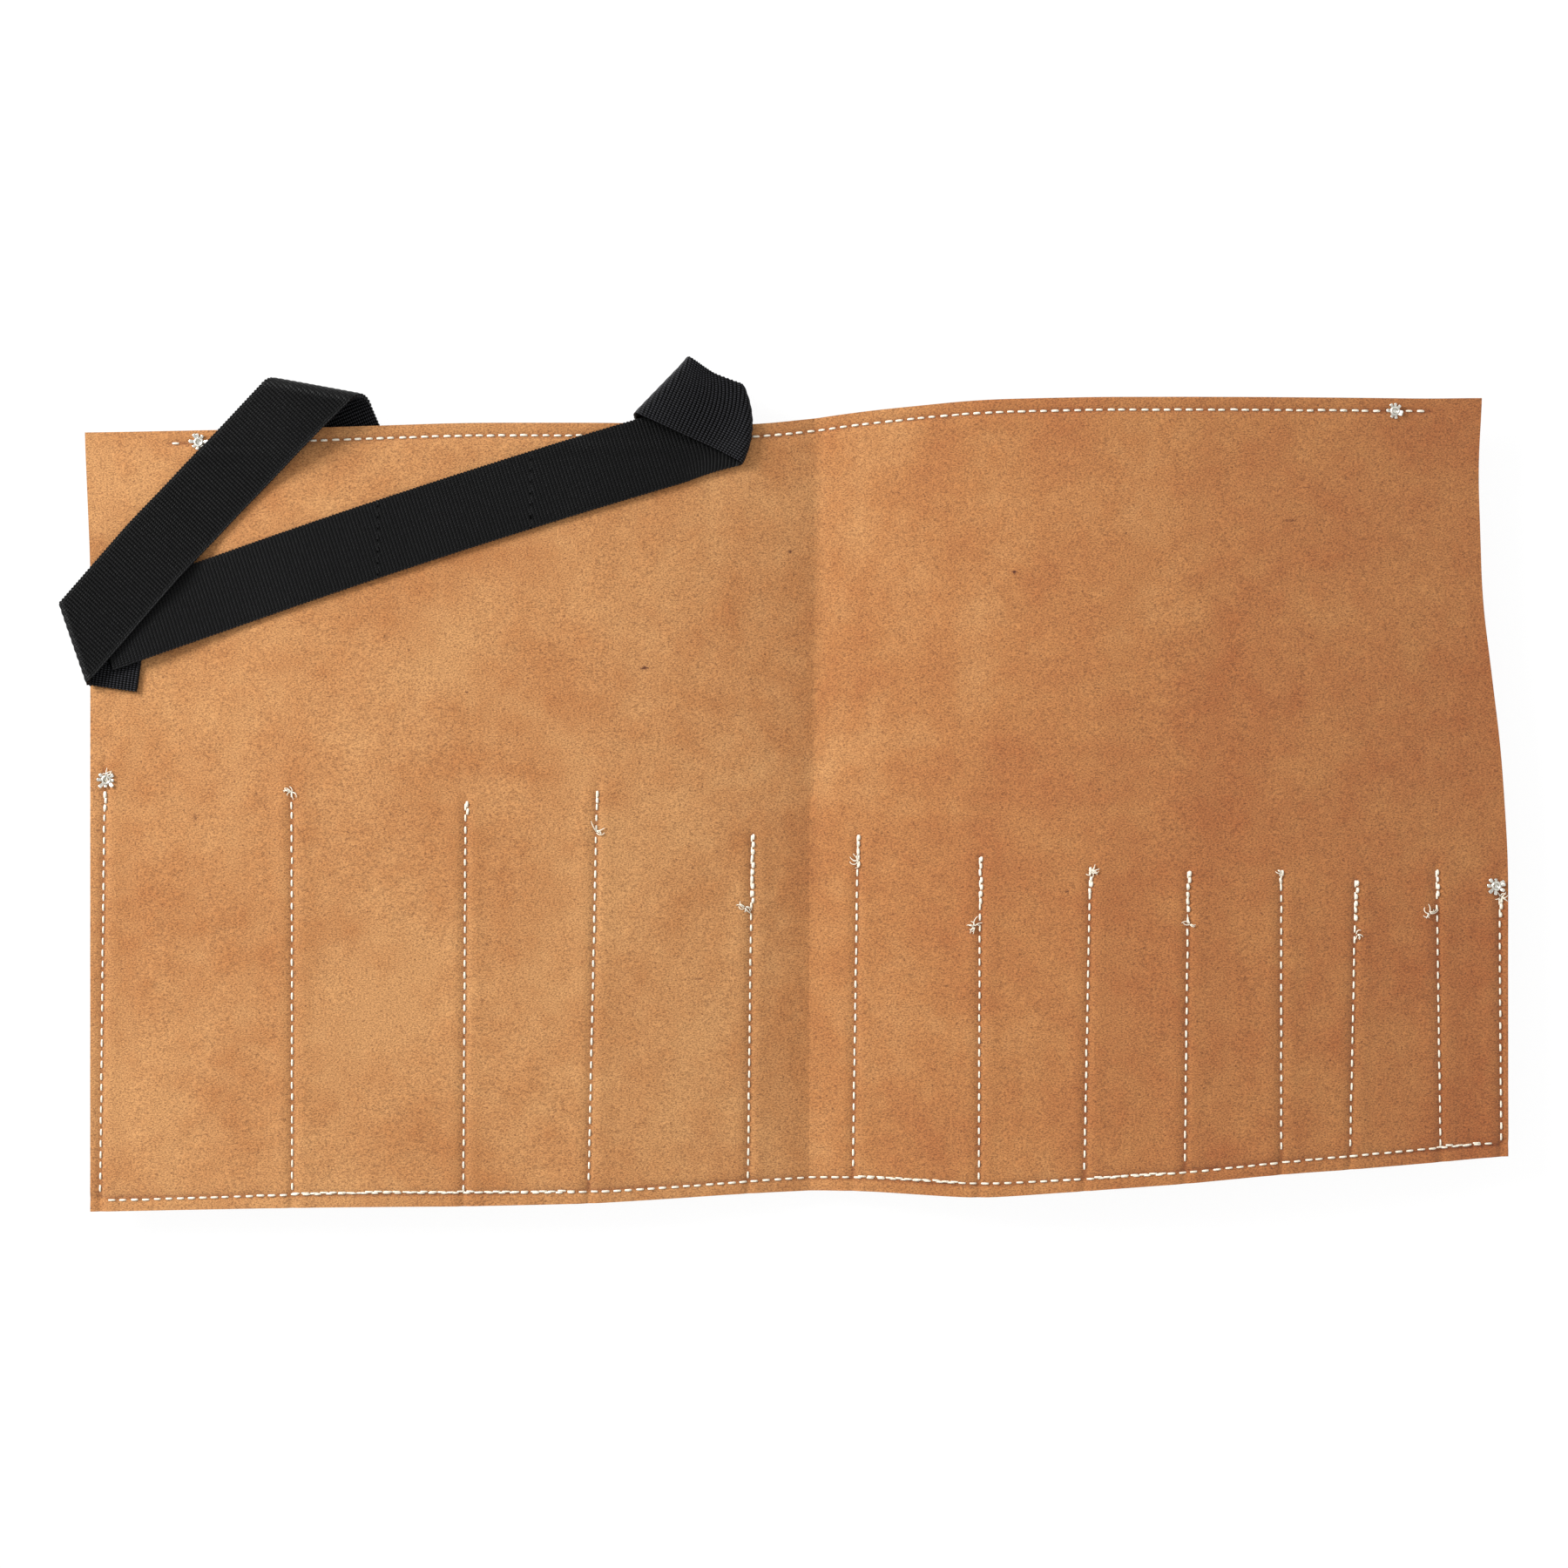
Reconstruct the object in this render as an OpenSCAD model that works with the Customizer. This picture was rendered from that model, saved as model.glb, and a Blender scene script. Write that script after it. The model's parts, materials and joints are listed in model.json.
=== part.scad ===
// Roll-up leather pencil case with twelve graded pockets, lying open with its pockets underneath.
// +X runs along the roll towards its inner end, +Y towards the flap edge, +Z up.
// The origin is under the middle of the case and its ties, on the surface that the case lies on.
// The leather is cut at the pocket seams, where the case bends when it is rolled up.

/* [Leather] */
// Thickness of the back panel
back_t = 2; // [1.6:0.1:2.4]
// Thickness of the pocket panel
pocket_t = 1.6; // [1.2:0.1:2]
// Thickness of the flap
flap_t = 1.4; // [1:0.1:1.6]

/* [Pockets] */
// Width of each pocket between its seams, from the outer end of the roll to the inner end
pocket_w = [64, 59, 44.5, 52.5, 36, 41.5, 37, 33, 31.5, 25.5, 28, 21.5]; // [20:0.5:70]
// Slope of each pocket where the open case lies in waves, rising towards +X
pocket_slope = [1.9, 0, 0, -2.5, 0, 7, 5, 1, -2, -4, -6, -7.8]; // [-8:0.1:8]
// Inside height of a pocket, for a 7 mm pencil
pocket_gap = 7.5; // [6:0.5:8]
// Height of the pockets' mouth at the outer end of the roll
mouth_outer = 12; // [0:1:40]
// Height of the pockets' mouth at the inner end of the roll
mouth_inner = -24; // [-60:1:0]
// Fall of the mouth line for each millimetre along the roll
mouth_fall = 0.098; // [0:0.001:0.2]

/* [Outline] */
// Place of the outermost seam
first_seam_x = -235.5; // [-240:0.5:-230]
// Height of the top edge at each seam
top_edge = [126.5, 127.5, 129.5, 129.5, 129, 133.5, 137, 137.5, 137.5, 137.5, 137.5, 137.5, 138]; // [120:0.5:140]
// Height of the bottom edge at each seam
bottom_edge = [-138, -136.5, -136, -135, -132, -131, -133, -130, -127.5, -124.5, -123, -121, -119]; // [-140:0.5:-110]
// Leather beyond the outermost seam
outer_overhang = 4.5; // [3:0.5:6]
// Leather beyond the innermost seam, next to the pockets
inner_overhang = 3; // [2:0.5:4]
// How far the inner end is cut back at its top corner
inner_cutback = 6; // [3:0.5:8]

/* [Flap] */
// Depth of the flap from its fold to its free edge
flap_depth = 95; // [60:1:100]
// Distance of the flap's fold from the top edge
flap_margin = 7.5; // [6:0.5:9]
// Start of the flap, from the first seam
flap_start = 28.5; // [20:0.5:40]

/* [Webbing ties] */
// Thickness of the webbing
tie_t = 1.2; // [1:0.1:1.4]
// Space between two layers of webbing that lie on each other
tie_gap = 0.3; // [0.3:0.1:0.5]

/* [Rivets and thread] */
// Radius of a rivet's shank
shank_r = 1.5; // [1.2:0.1:1.6]
// Radius of a rivet's split end
rosette_r = 3.2; // [2.8:0.1:3.6]
// Height of a rivet's split end
rosette_h = 0.8; // [0.6:0.1:1]
// Radius of a rivet's flat head, on the pocket side
rivet_head_r = 2.4; // [2:0.1:2.5]
// Width of a seam's thread
thread_w = 0.9; // [0.7:0.1:1.2]
// Distance of the top and bottom seams from the edges
edge_seam = 4.3; // [3.5:0.1:5]

/* [Hidden] */
$fn = 48;

pocket_count = len(pocket_w);
flap_count = pocket_count - 1;

// Heights above the underside of a pocket
back_z = pocket_t + pocket_gap;
flange_z = back_z - pocket_t;
top_z = back_z + back_t;
roll_axis_z = flange_z - 0.3;
flap_axis_z = roll_axis_z - 0.5;

// Clearances and edges
bend_gap = 0.4;         // between neighbouring sections at a seam
flange_w = 2;           // flat leather on each side of a seam
end_flange_w = 4.5;     // flat leather inside the two end seams
end_wall_y = 6;         // bottom wall of a pocket above the bottom edge
flap_side = 2;          // flap cut back from each seam at its fold
flap_taper = 2.8;       // further cut back at its free edge
thread_h = 0.25;        // height of a thread on the back
rivet_head_h = 0.5;     // thickness of a rivet's flat head
bore_play = 0.1;        // between a rivet's shank and its hole
far = 300;              // beyond every edge of the case

// Shift that puts the origin under the middle of the case and its folded ties
case_shift = [4.4, -5.9];

// Rivets: place along the roll and height
rivet_flap_outer_xy = [-203, 123];
rivet_flap_inner_xy = [201.5, 133.2];
rivet_pocket_outer_xy = [-234.5, 8.5];
rivet_pocket_inner_xy = [236.5, -27.5];

// Layers of webbing above the back: the folded end, then tie B, then tie A on top
tie_low_z = top_z + tie_gap;
tie_mid_z = tie_low_z + tie_t + tie_gap;
tie_top_z = tie_mid_z + tie_t + tie_gap;
tie_root_z = flange_z + tie_gap;

// Outlines of the ties as they lie folded on the back
tie_a_band = [
    [-241, 41], [-249.5, 70.5], [-239.5, 84], [-191, 125.5], [-177.5, 144], [-149, 138.5],
    [-154, 134], [-170, 119.5], [-209.5, 78]
];
tie_a_end = [[-241, 41], [-249.5, 70.5], [-236, 66], [-223, 48], [-223.5, 40]];
tie_a_fold = [[-241, 41], [-249.5, 70.5], [-247.5, 71], [-239, 42.5]];
tie_a_root = [[-162.5, 122.5], [-170.5, 142.5], [-149, 138.5], [-141, 129], [-141, 122.5]];
tie_a_bend = [[-170.5, 142.7], [-149, 138.5], [-149.5, 136.8], [-170.5, 141]];
tie_b_band = [
    [-237, 43.5], [-224, 66], [-209, 78.5], [-169, 93], [-125, 107], [-84, 119.5], [-57, 130],
    [-38, 150], [-25.5, 148.5], [-18, 144.5], [-15.5, 140], [-17, 128], [-20, 116.5], [-50, 105],
    [-91, 93], [-152, 72.5], [-206, 53], [-223, 48]
];
tie_b_root = [[-57, 122.5], [-57, 130], [-38, 150], [-25.5, 148.5], [-18, 144.5], [-37, 128], [-37, 122.5]];
tie_b_bend = [[-38, 150], [-25.5, 148.5], [-18, 144.5], [-19, 143], [-26, 146.8], [-38, 148.3]];

leather = "#cf9460";
leather_inside = "#c58b58";
webbing = "#17171a";
thread = "#e9e2cf";
steel = "#c9c7c0";

// Two digits, so that the sections' names sort along the roll
function numbered(k) = k < 10 ? str("0", k) : str(k);

// Seams are numbered 0 to 12, and section k lies between the seams k - 1 and k
function slope(k) = pocket_slope[k - 1];
function width(k) = pocket_w[k - 1];
function seam_x(i) = i == 0 ? first_seam_x : seam_x(i - 1) + width(i) * cos(slope(i));
function climb(i) = i == 0 ? 0 : climb(i - 1) + width(i) * sin(slope(i));
function seam_z(i) = climb(i) - climb(4);
function mouth_y(i) = max(mouth_inner, mouth_outer - mouth_fall * (seam_x(i) - first_seam_x));
function wall_run(k) = min(pocket_gap, 0.14 * width(k));

// Half of the change of slope at a seam, so that neighbouring ends stay parallel
function mitre(i) = i < 1 || i > flap_count ? 0 : (slope(i + 1) - slope(i)) / 2;
function start_x(k, z) = bend_gap / 2 + (z - roll_axis_z) * tan(mitre(k - 1));
function stop_x(k, z) = width(k) - bend_gap / 2 - (z - roll_axis_z) * tan(mitre(k));
function first_x(k, z) = k == 1 ? -far : start_x(k, z);
function last_x(k, z) = k == pocket_count ? far : stop_x(k, z);

// The flap's fold, straight across one section
function fold_y(k) = min(top_edge[k - 1], top_edge[k]) - flap_margin;
function flap_x0(k) = k == 1 ? flap_start : flap_side;
function flap_x1(k) = k == flap_count ? width(k) - flap_side - 1 : width(k) - flap_side;

// Where the seams stop short of the rivets
function clear_of(rivet_at) = rivet_at - rosette_r - 0.6;
function seam_head(i) =
    i == 0 ? clear_of(rivet_pocket_outer_xy.y)
    : i == pocket_count ? clear_of(rivet_pocket_inner_xy.y)
    : mouth_y(i);
function top_seam_x0(k) = k == 1 ? rivet_flap_outer_xy.x - seam_x(0) + rosette_r + 0.6 : flap_side;
function top_seam_x1(k) = k == flap_count ? clear_of(rivet_flap_inner_xy.x - seam_x(k - 1)) : width(k) - flap_side;

// Places its children in the frame of section k: X along the leather from seam k - 1,
// Z up from the underside of the pocket, sloped about the roll axis at that seam
module in_section(k) {
    translate([seam_x(k - 1) + case_shift.x, case_shift.y, seam_z(k - 1) + roll_axis_z])
        rotate([0, -slope(k), 0])
            translate([0, 0, -roll_axis_z])
                children();
}

// A profile in X and Z carried along Y, across the whole case
module along_y() {
    translate([0, far, 0])
        rotate([90, 0, 0])
            linear_extrude(2 * far)
                children();
}

// A layer of section k between two heights, with its ends cut to the mitres of its seams
module layer(k, z0, z1) {
    along_y()
        polygon([
            [first_x(k, z0), z0], [last_x(k, z0), z0],
            [last_x(k, z1), z1], [first_x(k, z1), z1]
        ]);
}

// A plan outline carried through the whole thickness
module through(points) {
    translate([0, 0, -far])
        linear_extrude(2 * far)
            polygon(points);
}

// Height of an edge at a place along section k
function edge_y(edge, k, x) = edge[k - 1] + (edge[k] - edge[k - 1]) * x / width(k);

// Plan of section k between its bottom edge and its top edge
function panel_plan(k) =
    k == 1 ? [
        [-outer_overhang, edge_y(bottom_edge, k, -outer_overhang)], [width(k), bottom_edge[k]],
        [width(k) + 1, edge_y(top_edge, k, width(k) + 1)],
        [-outer_overhang - 2, edge_y(top_edge, k, -outer_overhang - 2)], [-outer_overhang, 80]
    ]
    : k == pocket_count ? [
        [-1, edge_y(bottom_edge, k, -1)], [width(k) + inner_overhang, bottom_edge[k]],
        [width(k) + inner_overhang, -18], [width(k) + 0.5, 19], [width(k) - inner_cutback, 70],
        [width(k) - inner_cutback - 1.5, 115], [width(k) - inner_cutback, top_edge[k]],
        [-1, edge_y(top_edge, k, -1)]
    ]
    : [
        [-1, edge_y(bottom_edge, k, -1)], [width(k) + 1, edge_y(bottom_edge, k, width(k) + 1)],
        [width(k) + 1, edge_y(top_edge, k, width(k) + 1)], [-1, edge_y(top_edge, k, -1)]
    ];

// Plan of section k from a distance above its bottom edge up to the pocket's mouth
function pocket_plan(k, rise, extra) = [
    [-far, edge_y(bottom_edge, k, -far) + rise], [far, edge_y(bottom_edge, k, far) + rise],
    [far, mouth_y(k) + extra], [width(k), mouth_y(k) + extra],
    [0, mouth_y(k - 1) + extra], [-far, mouth_y(k - 1) + extra]
];

// Profile of the space that a pocket takes up, drawn in by the leather's thickness
function pouch_profile(k, inset) =
    let (
        wall_x0 = (k == 1 ? end_flange_w : flange_w) + inset,
        wall_x1 = width(k) - (k == pocket_count ? end_flange_w : flange_w) - inset,
        steep = wall_run(k) / flange_z,
        low = inset == 0 ? 0 : pocket_t,
        foot = (flange_z - low) * steep,
        head = (back_z - flange_z) * steep
    )
    [
        [wall_x0 - head, back_z], [wall_x0 + foot, low],
        [wall_x1 - foot, low], [wall_x1 + head, back_z]
    ];

// Hole for a rivet's shank at a place in the row frame, square to section k
module rivet_hole(k, place) {
    in_section(k)
        translate([place.x - seam_x(k - 1), place.y, 0])
            cylinder(h = far, r = shank_r + bore_play, center = true);
}

module rivet_holes(k) {
    if (k == 1) rivet_hole(k, rivet_flap_outer_xy);
    if (k == 1) rivet_hole(k, rivet_pocket_outer_xy);
    if (k == flap_count) rivet_hole(k, rivet_flap_inner_xy);
    if (k == pocket_count) rivet_hole(k, rivet_pocket_inner_xy);
}

// The back, with the flap's sewn margin under its top edge
module back_panel(k) {
    color(leather)
        difference() {
            in_section(k)
                intersection() {
                    union() {
                        layer(k, back_z, top_z);
                        if (k <= flap_count) flap_seam_margin(k);
                    }
                    through(panel_plan(k));
                }
            rivet_holes(k);
        }
}

// The strip of the flap that is sewn to the back, open where a tie is caught in the seam
module flap_seam_margin(k) {
    x0 = k == 1 ? flap_start : -far;
    x1 = k == flap_count ? flap_x1(k) : far;
    difference() {
        intersection() {
            layer(k, back_z - flap_t, back_z);
            through([[x0, fold_y(k)], [x1, fold_y(k)], [x1, far], [x0, far]]);
        }
        if (k == 2) tie_opening(k, tie_a_root);
        if (k == 4) tie_opening(k, tie_b_root);
    }
}

module tie_opening(k, points) {
    translate([-seam_x(k - 1), 0, 0])
        through(points);
}

// One pocket: a tray of leather with a wall at the bottom seam, open at its mouth
module pocket(k) {
    color(leather_inside)
        difference() {
            in_section(k)
                difference() {
                    intersection() {
                        union() {
                            layer(k, flange_z, back_z);
                            intersection() {
                                along_y() polygon(pouch_profile(k, 0));
                                through(pocket_plan(k, end_wall_y, 0));
                            }
                        }
                        through(panel_plan(k));
                        through(pocket_plan(k, 0, 0));
                    }
                    intersection() {
                        along_y() polygon(pouch_profile(k, pocket_t));
                        through(pocket_plan(k, end_wall_y + pocket_t, 1));
                    }
                }
            rivet_holes(k);
        }
}

// One strip of the flap, folded in under the back
module flap(k) {
    color(leather_inside)
        in_section(k)
            translate([0, fold_y(k), flap_axis_z])
                linear_extrude(flap_t)
                    polygon([
                        [flap_x0(k), 0], [flap_x1(k), 0],
                        [flap_x1(k) - flap_taper, -flap_depth], [flap_x0(k) + flap_taper, -flap_depth]
                    ]);
}

// The threads that show on the back of section k
module stitches(k) {
    color(thread)
        in_section(k)
            translate([0, 0, top_z])
                linear_extrude(thread_h) {
                    seam_line(k, bend_gap, seam_head(k - 1));
                    if (k == pocket_count) seam_line(k, width(k) - thread_w, seam_head(k));
                    edge_line(k, bottom_edge, edge_seam, bend_gap, width(k) - bend_gap);
                    if (k <= flap_count) edge_line(k, top_edge, -edge_seam, top_seam_x0(k), top_seam_x1(k));
                }
}

// A seam across the roll, from the bottom seam up to a height
module seam_line(k, x, head) {
    foot = edge_y(bottom_edge, k, x) + edge_seam;
    translate([x, foot])
        square([thread_w, head - foot]);
}

// A seam along an edge of section k
module edge_line(k, edge, distance, x0, x1) {
    y0 = edge_y(edge, k, x0) + distance;
    y1 = edge_y(edge, k, x1) + distance;
    polygon([[x0, y0], [x1, y1], [x1, y1 + thread_w], [x0, y0 + thread_w]]);
}

// A rivet with a flat head underneath, a shank, and its split end spread on the back
module rivet(k, place, head_z) {
    color(steel)
        in_section(k)
            translate([place.x - seam_x(k - 1), place.y, 0]) {
                translate([0, 0, head_z - rivet_head_h]) cylinder(h = rivet_head_h, r = rivet_head_r);
                translate([0, 0, head_z - rivet_head_h]) cylinder(h = top_z - head_z + rivet_head_h, r = shank_r);
                translate([0, 0, top_z]) cylinder(h = rosette_h, r = rosette_r);
            }
}

// Pieces of webbing on section k: each has an outline in the row frame and two heights
module tie(k, pieces) {
    color(webbing)
        in_section(k)
            for (piece = pieces)
                intersection() {
                    layer(k, piece[1], piece[2]);
                    translate([-seam_x(k - 1), 0, 0])
                        through(piece[0]);
                }
}

// Tie A runs on top, from its bend over the top edge down to the fold at the outer end
module tie_a(k) {
    band = [tie_a_band, tie_top_z, tie_top_z + tie_t];
    folded_end = [tie_a_end, tie_low_z, tie_low_z + tie_t];
    fold = [tie_a_fold, tie_low_z, tie_top_z + tie_t];
    root = [tie_a_root, tie_root_z, tie_root_z + tie_t];
    bend = [tie_a_bend, tie_root_z, tie_top_z + tie_t];
    tie(k, k == 1 ? [band, folded_end, fold] : [band, root, bend]);
}

// Tie B lies under tie A, from its folded bend over the top edge down to the outer end
module tie_b(k) {
    z = k <= 2 ? tie_mid_z : tie_low_z;
    band = [tie_b_band, z, z + tie_t];
    root = [tie_b_root, tie_root_z, tie_root_z + tie_t];
    bend = [tie_b_bend, tie_root_z, z + tie_t];
    tie(k, k == 4 ? [band, root, bend] : [band]);
}

for (k = [1 : pocket_count]) {
    back_panel(k);
    pocket(k);
    stitches(k);
}
for (k = [1 : flap_count])
    flap(k);
rivet(1, rivet_flap_outer_xy, back_z - flap_t);  // rivet_flap_outer
rivet(flap_count, rivet_flap_inner_xy, back_z - flap_t);  // rivet_flap_inner
rivet(1, rivet_pocket_outer_xy, flange_z);  // rivet_pocket_outer
rivet(pocket_count, rivet_pocket_inner_xy, flange_z);  // rivet_pocket_inner
for (k = [1 : 2])
    tie_a(k);
for (k = [1 : 4])
    tie_b(k);
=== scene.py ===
"""Roll-up pencil case of tan split leather, lying open with its pockets underneath.

The back, the pocket panel and the flap are sheets of leather, worked out as heights over a grid.
The seams are rows of single stitches, and the two ties are ribbed webbing, folded over on the back.
Lengths are in metres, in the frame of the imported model.
"""
import json

import bpy
import numpy as np
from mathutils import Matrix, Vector


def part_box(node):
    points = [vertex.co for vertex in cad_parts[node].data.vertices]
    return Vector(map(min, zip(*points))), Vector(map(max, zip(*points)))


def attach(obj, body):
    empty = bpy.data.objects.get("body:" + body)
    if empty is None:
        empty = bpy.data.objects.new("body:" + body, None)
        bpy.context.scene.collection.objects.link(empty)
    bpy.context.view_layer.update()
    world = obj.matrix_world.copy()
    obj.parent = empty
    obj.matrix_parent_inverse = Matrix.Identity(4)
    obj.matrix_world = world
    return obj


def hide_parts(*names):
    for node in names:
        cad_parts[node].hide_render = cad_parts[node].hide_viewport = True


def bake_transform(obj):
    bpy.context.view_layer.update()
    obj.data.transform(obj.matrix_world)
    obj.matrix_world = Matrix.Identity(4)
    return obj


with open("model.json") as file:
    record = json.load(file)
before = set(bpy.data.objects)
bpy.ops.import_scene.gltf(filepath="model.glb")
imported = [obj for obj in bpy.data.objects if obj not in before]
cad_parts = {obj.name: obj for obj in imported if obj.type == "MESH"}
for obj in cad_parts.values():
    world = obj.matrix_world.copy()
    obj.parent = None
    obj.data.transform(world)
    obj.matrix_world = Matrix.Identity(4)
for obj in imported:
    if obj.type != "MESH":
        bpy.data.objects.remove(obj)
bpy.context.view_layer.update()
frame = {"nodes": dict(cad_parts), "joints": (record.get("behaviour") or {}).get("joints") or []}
MM = 0.001
rng = np.random.default_rng(12)

# ---------------------------------------------------------------- sizes taken from the frame

SECTIONS = 12
BACK_T = 2.0 * MM        # back panel
POCKET_T = 1.6 * MM      # pocket panel
FLAP_T = 1.4 * MM        # flap
POUCH = 7.5 * MM         # room inside a pocket
TIE_T = 1.2 * MM         # webbing
TIE_W = 25.0 * MM
EDGE_SEAM = 4.3 * MM     # top and bottom seams, from the edges
THREAD_R = 0.42 * MM

joints = {j["name"]: j for j in frame["joints"]}


def two(k):
    """A number with two digits, as in the pieces' names."""
    return f"{k:02d}"


def nodes_points(name):
    """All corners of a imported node, as an array of n by 3."""
    mesh = frame["nodes"][name].data
    co = np.zeros(len(mesh.vertices) * 3)
    mesh.vertices.foreach_get("co", co)
    return co.reshape(-1, 3)


roll_axis = np.array([joints["roll_" + two(i)]["pos_m"] for i in range(1, SECTIONS)])
panel = [nodes_points("back_panel_" + two(k)) for k in range(1, SECTIONS + 1)]
stitch_first = nodes_points("stitches_01")
stitch_last = nodes_points("stitches_12")
seam_x = np.concatenate([[stitch_first[:, 0].min()], roll_axis[:, 0], [stitch_last[:, 0].max()]])
middle_x = (seam_x[1:] + seam_x[:-1]) / 2


def end_values(k, side, pick):
    """Lowest or highest Y of section k at its left or right end."""
    p = panel[k]
    x = p[:, 0]
    near = x < x.min() + 3 * MM if side == "left" else x > x.max() - 3 * MM
    return pick(p[near, 1])


top_y = np.array([end_values(k, "left", np.max) for k in range(SECTIONS)] + [panel[-1][:, 1].max()])
last_bottom = end_values(SECTIONS - 1, "right", np.min)
bottom_y = np.array([end_values(k, "left", np.min) for k in range(SECTIONS)] + [last_bottom])
left_x = panel[0][:, 0].min()
right_x = panel[-1][:, 0].max()

# Height of the back's upper face at each seam: it lies the same distance above each roll axis
AXIS_TO_TOP = panel[4][:, 2].max() - roll_axis[4, 2]
first_top = panel[0][panel[0][:, 0] < left_x + 3 * MM, 2].max()
last_top = panel[-1][panel[-1][:, 0] > right_x - 3 * MM, 2].max()
seam_top = np.concatenate([[first_top], roll_axis[:, 2] + AXIS_TO_TOP, [last_top]])

# Mouth of the pockets at each seam
mouth_y = []
for k in range(1, SECTIONS + 1):
    p = nodes_points("pocket_" + two(k))
    near = p[:, 0] < p[:, 0].min() + 3 * MM
    mouth_y.append(p[near, 1].max())
mouth_y.append(nodes_points("pocket_12")[:, 1].max())
mouth_y = np.array(mouth_y)


# ---------------------------------------------------------------- heights of the leather

def ease(a, b):
    """Smooth change from 0 to 1 as a value goes from a to b."""
    def f(v):
        w = np.clip((v - a) / (b - a), 0, 1)
        return w * w * (3 - 2 * w)
    return f


def smooth_line(x, knots, values, reach):
    """Straight lines between knots, averaged over a window of plus and minus reach."""
    offsets = np.linspace(-1, 1, 13)
    weights = 1 - offsets ** 2 + 0.05
    total = sum(w * np.interp(x + o * reach, knots, values) for o, w in zip(offsets, weights))
    return total / weights.sum()


CREASE_X = 10.0 * MM
CREASE_DEEP = 5.0 * MM
CREASE_LEFT = 19 * MM
CREASE_RIGHT = 13 * MM


def ripple(x, y, size, seed):
    """Slow uneven rise and fall: a sum of five plane waves of about the given wavelength."""
    r = np.random.default_rng(seed)
    total = np.zeros_like(x)
    for _ in range(5):
        a, ph, sc = r.uniform(0, np.pi), r.uniform(0, 6.3), size * r.uniform(0.7, 1.5)
        total = total + np.sin((x * np.cos(a) + y * np.sin(a)) * 2 * np.pi / sc + ph)
    return total / 5


# Y of each seam's head, near the mouth of the pockets, and how far the seam leans sideways going down
SEAM_HEAD = np.array([
    7.1, -0.3, -4.7, -0.9, -15.7, -15.7, -23.0, -26.9, -27.8, -27.8, -30.7, -27.5, -31.3
]) * MM
SEAM_LEAN = np.array([-1.6, 0.2, -0.8, -3.0, -1.4, -1.8, -0.5, -2.0, -1.2, 0.0, -2.0, 1.5, 0.6]) * MM


def seam_place(i, y):
    """X of seam i at height y."""
    lean = SEAM_LEAN[i] * (SEAM_HEAD[i] - y) / (SEAM_HEAD[i] - bottom_y[i])
    return seam_x[i] + lean


def edge_line(x, values, inset=0.0):
    """Y of the bottom or top edge at x, rounded where the sections meet."""
    knots = np.concatenate([[left_x], seam_x[1:-1], [right_x]])
    return smooth_line(x, knots, values, 15 * MM) + inset


def top_seam_here(x):
    """1 where the top seam runs, which starts a little before its first rivet and ends after its last one."""
    first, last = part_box("rivet_flap_outer")[0].x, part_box("rivet_flap_inner")[1].x
    return ease(first - 8 * MM, first - 6 * MM)(x) * ease(last + 11 * MM, last + 8 * MM)(x)


def seam_closeness(x, y):
    """1 on the line of a seam, falling away to both sides as a bell, to about a tenth at 1 mm."""
    bottom, top = edge_line(x, bottom_y, EDGE_SEAM), edge_line(x, top_y, -EDGE_SEAM)
    close = top_seam_here(x) * np.exp(-((y - top) / (0.7 * MM)) ** 2)
    close = np.maximum(close, (x > seam_x[0]) * (x < seam_x[-1]) * np.exp(-((y - bottom) / (0.7 * MM)) ** 2))
    for i in range(SECTIONS + 1):
        along = (y < SEAM_HEAD[i]) & (y > bottom)
        close = np.maximum(close, along * np.exp(-((x - seam_place(i, y)) / (0.7 * MM)) ** 2))
    return close


def back_height(x, y):
    """Upper face of the back.

    The slope of the sections smoothed, a sharp crease with slopes that die away on both sides, slow
    ripples, and a groove at each seam: bell-shaped dips about 2.5 mm wide, with raised leather beside them.
    """
    z = smooth_line(x, np.concatenate([[left_x], seam_x[1:-1], [right_x]]), seam_top, 13 * MM)
    off = x - CREASE_X - 1.5 * MM * np.sin(y / (60 * MM))
    reach = np.where(off < 0, CREASE_LEFT, CREASE_RIGHT)
    z = z - CREASE_DEEP * np.exp(-(np.sqrt(off ** 2 + (1.5 * MM) ** 2)) / reach)
    z = z + 0.35 * MM * ripple(x, y, 95 * MM, 3) + 0.12 * MM * ripple(x, y, 28 * MM, 5)
    top = edge_line(x, top_y)
    bottom = edge_line(x, bottom_y)
    for i in range(SECTIONS + 1):
        d = x - seam_place(i, y)
        inside = 1 / (1 + np.exp((y - SEAM_HEAD[i] - 1 * MM) / (1.2 * MM)))
        dip = 0.42 * np.exp(-(d / (1.3 * MM)) ** 2)
        dip = dip - 0.22 * np.exp(-((np.abs(d) - 3.6 * MM) / (2.6 * MM)) ** 2)
        z = z - dip * MM * inside
    for d, here in ((y - bottom - EDGE_SEAM, 1.0), (top - y - EDGE_SEAM, top_seam_here(x))):
        dip = 0.38 * np.exp(-(d / (1.2 * MM)) ** 2) - 0.12 * np.exp(-((d - 4 * MM) / (2.4 * MM)) ** 2)
        z = z - dip * MM * here
    return z


# ---------------------------------------------------------------- mesh makers

def grid_faces(rows, cols, base=0):
    """Quads of a grid whose points are stored row by row."""
    i = np.arange(rows - 1)[:, None] * cols + np.arange(cols - 1)[None, :]
    quads = np.stack([i, i + 1, i + cols + 1, i + cols], -1)
    return quads.reshape(-1, 4) + base


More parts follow.
